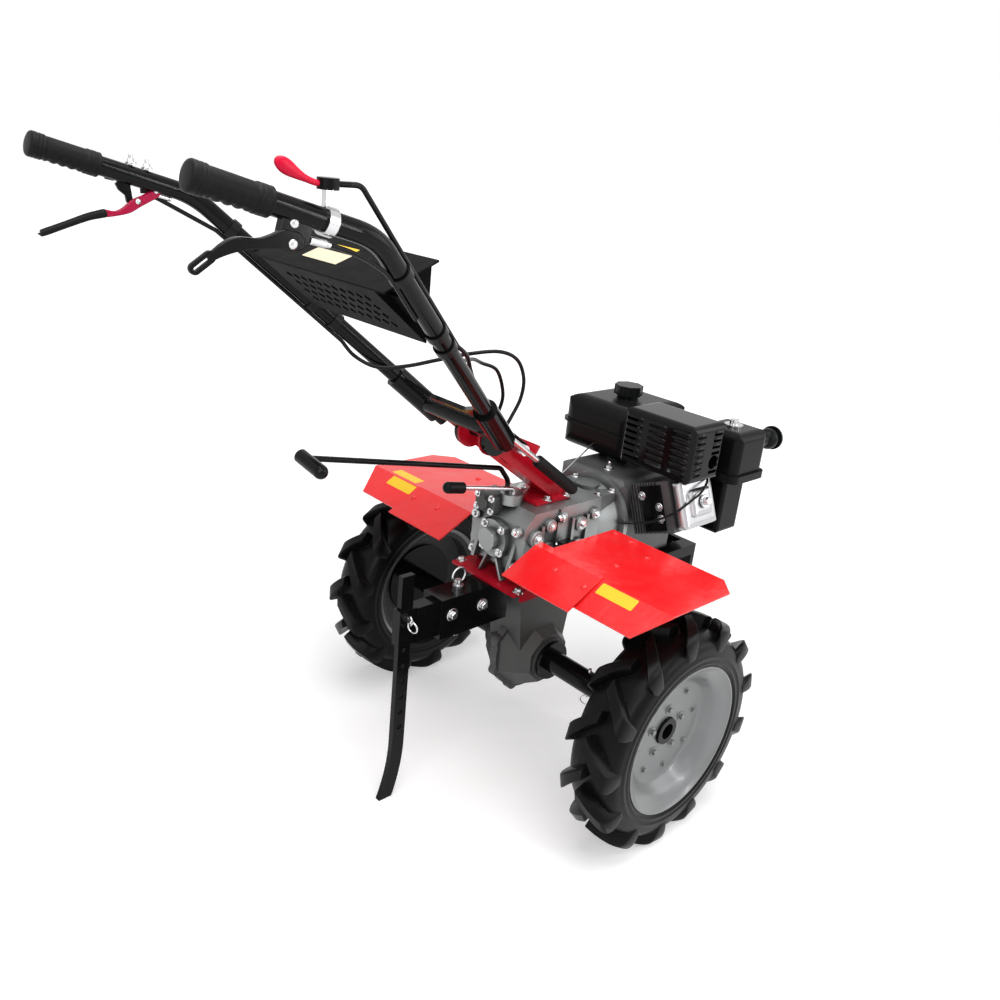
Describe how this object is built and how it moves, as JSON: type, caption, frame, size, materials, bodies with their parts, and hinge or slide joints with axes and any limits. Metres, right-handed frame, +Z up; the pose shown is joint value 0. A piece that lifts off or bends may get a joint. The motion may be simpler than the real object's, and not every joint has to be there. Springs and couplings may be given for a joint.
{
  "type": "hand tractor",
  "caption": "Walk-behind hand tractor with lugged drive wheels, petrol engine, gearbox and final drive, red fenders, adjustable handlebar with hand levers and a drag stake",
  "frame": {"origin": "centre of the part's box on the floor that the wheels and the stake stand on", "axes": "+X is forward, towards the engine; +Y is the operator's left; +Z is up"},
  "size_m": [1.4445, 0.854, 1.2042],
  "materials": {
    "red_paint": "gloss",
    "crimson_paint": "gloss",
    "black_paint": "satin",
    "black_plastic": "satin",
    "cast_iron_grey": "matte",
    "cast_aluminium": "satin",
    "rim_paint": "satin",
    "tyre_rubber": "matte",
    "grip_rubber": "matte",
    "bright_steel": "polished",
    "valve_aluminium": "polished",
    "cable_jacket": "satin"
  },
  "bodies": {
    "chassis": {"final_drive": "cast_iron_grey", "gearbox": "cast_aluminium", "gearbox_cover": "cast_aluminium", "clutch_housing": "cast_aluminium", "base_plate": "crimson_paint", "engine_frame": "black_paint", "engine_block": "cast_aluminium", "valve_cover": "valve_aluminium", "air_guide": "black_paint", "fan_shroud": "black_plastic", "recoil_starter": "black_plastic", "fuel_tank": "black_plastic", "tank_cap": "black_plastic", "muffler_guard": "black_paint", "muffler": "cast_iron_grey", "air_cleaner": "black_plastic", "air_intake": "black_plastic", "air_cleaner_nut": "bright_steel", "carburettor": "black_plastic", "fender_left": "red_paint", "fender_right": "red_paint", "fender_skirt_left": "red_paint", "fender_skirt_right": "red_paint", "fender_bracket_left": "black_paint", "fender_bracket_right": "black_paint", "hitch_bracket": "black_paint", "hitch_pin": "bright_steel", "stake_receiver": "black_paint", "handle_bracket": "crimson_paint", "lock_lever": "bright_steel", "lock_grip": "grip_rubber", "gear_lever": "black_paint", "side_lever": "bright_steel", "side_knob": "black_plastic", "clutch_cable": "cable_jacket", "reverse_cable": "cable_jacket", "throttle_cable": "cable_jacket"},
    "wheel_left": {"tyre_left": "tyre_rubber", "rim_left": "rim_paint", "axle_left": "black_paint"},
    "wheel_right": {"tyre_right": "tyre_rubber", "rim_right": "rim_paint", "axle_right": "black_paint"},
    "stake": {"drag_stake": "black_paint"},
    "handlebar": {"handle_base": "black_paint", "handle_tube_left": "black_paint", "handle_tube_right": "black_paint", "grip_left": "grip_rubber", "grip_right": "grip_rubber", "console": "black_plastic", "clutch_bracket": "black_paint", "clutch_lever": "crimson_paint", "clutch_lever_end": "grip_rubber", "reverse_bracket": "black_paint", "reverse_lever": "black_paint", "throttle_clamp": "bright_steel", "throttle_body": "black_plastic", "throttle_lever": "crimson_paint", "clutch_run": "cable_jacket", "control_run": "cable_jacket"}
  },
  "joints": [
    {"name": "wheel_left_spin", "type": "hinge", "parent": "chassis", "child": "wheel_left", "pos_m": [0.1466, 0.371, 0.23308], "axis": [0, 1, 0], "continuous": true},
    {"name": "wheel_right_spin", "type": "hinge", "parent": "chassis", "child": "wheel_right", "pos_m": [0.1466, -0.371, 0.23308], "axis": [0, 1, 0], "continuous": true},
    {"name": "handlebar_tilt", "type": "hinge", "parent": "chassis", "child": "handlebar", "pos_m": [-0.0394, 0, 0.736], "axis": [0, 1, 0], "range_deg": [-10, 12], "deforming": ["clutch_cable", "reverse_cable", "throttle_cable"]},
    {"name": "stake_slide", "type": "slide", "parent": "chassis", "child": "stake", "axis": [0, 0, 1], "range_m": [0, 0.15]}
  ]
}
